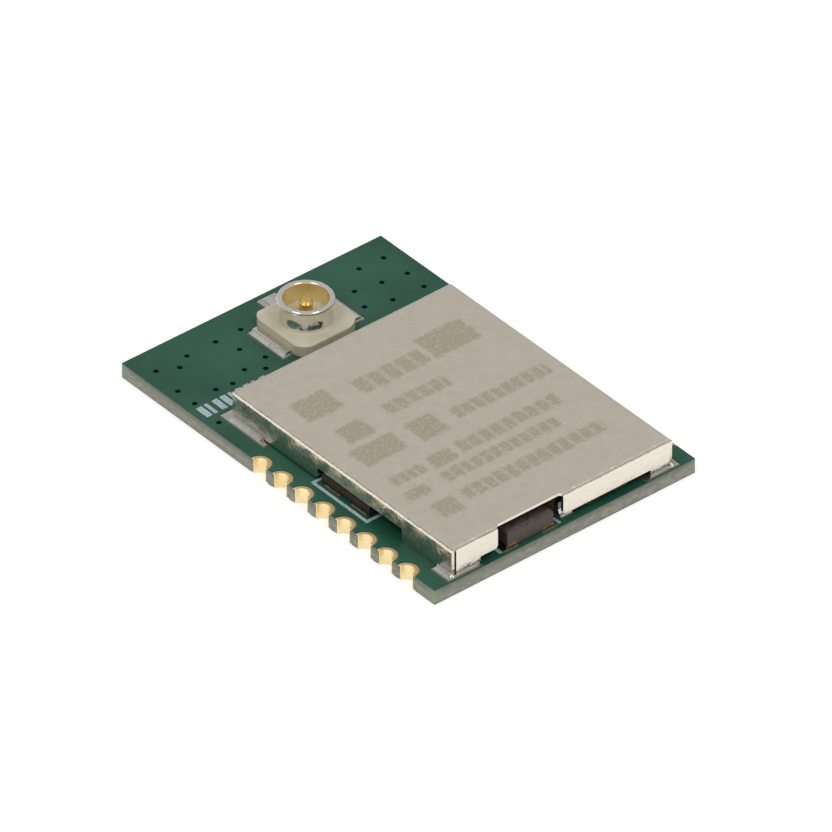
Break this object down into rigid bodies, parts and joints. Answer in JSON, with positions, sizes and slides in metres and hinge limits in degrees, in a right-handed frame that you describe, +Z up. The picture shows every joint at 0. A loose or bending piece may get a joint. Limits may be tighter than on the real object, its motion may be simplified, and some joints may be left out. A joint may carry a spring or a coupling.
{
  "type": "wifi module",
  "caption": "Small castellated circuit board with a folded metal shield can over its radio parts and a miniature coaxial antenna socket.",
  "frame": {"origin": "centre of the board's underside", "axes": "+Z up through the shield can, +Y towards the end with the coaxial socket, +X across the board"},
  "size_m": [0.0114, 0.0164, 0.0019],
  "materials": {
    "laminate": "matte cut glass-fibre edge",
    "copper_plating": "satin",
    "gold_plating": "satin",
    "solder_mask": "semi-gloss",
    "marking_ink": "matte",
    "tinned_land": "satin",
    "shield_steel": "satin, tin plated",
    "solder": "bright",
    "socket_moulding": "matte",
    "socket_metal": "polished",
    "socket_gold": "polished",
    "crystal_ceramic": "matte",
    "lid_metal": "satin",
    "ferrite": "semi-matte",
    "bare_copper": "satin",
    "chip_moulding": "matte",
    "tin": "satin",
    "filter_ceramic": "matte",
    "capacitor_ceramic": "satin",
    "resistor_coat": "glossy"
  },
  "bodies": {
    "root": {"board_core": "laminate", "via_barrels": "copper_plating", "left_contacts": "gold_plating", "right_contacts": "gold_plating", "ground_pad": "gold_plating", "solder_mask_top": "solder_mask", "solder_mask_bottom": "solder_mask", "silkscreen_marks": "marking_ink", "shield_lands": "tinned_land", "shield_can": "shield_steel", "shield_solder": "solder", "socket_lands": "tinned_land", "socket_solder": "solder", "socket_body": "socket_moulding", "socket_shell": "socket_metal", "socket_pin": "socket_gold", "crystal_base": "crystal_ceramic", "crystal_seal": "socket_gold", "crystal_lid": "lid_metal", "inductor_body": "ferrite", "inductor_terminals": "bare_copper", "radio_chip_body": "chip_moulding", "radio_chip_contacts": "tin", "memory_chip_body": "chip_moulding", "memory_chip_contacts": "tin", "antenna_filter_body": "filter_ceramic", "antenna_filter_ends": "tin", "capacitor_bodies": "capacitor_ceramic", "capacitor_ends": "tin", "resistor_bodies": "resistor_coat", "resistor_ends": "tin", "part_lands": "gold_plating", "part_solder": "solder"}
  },
  "joints": []
}
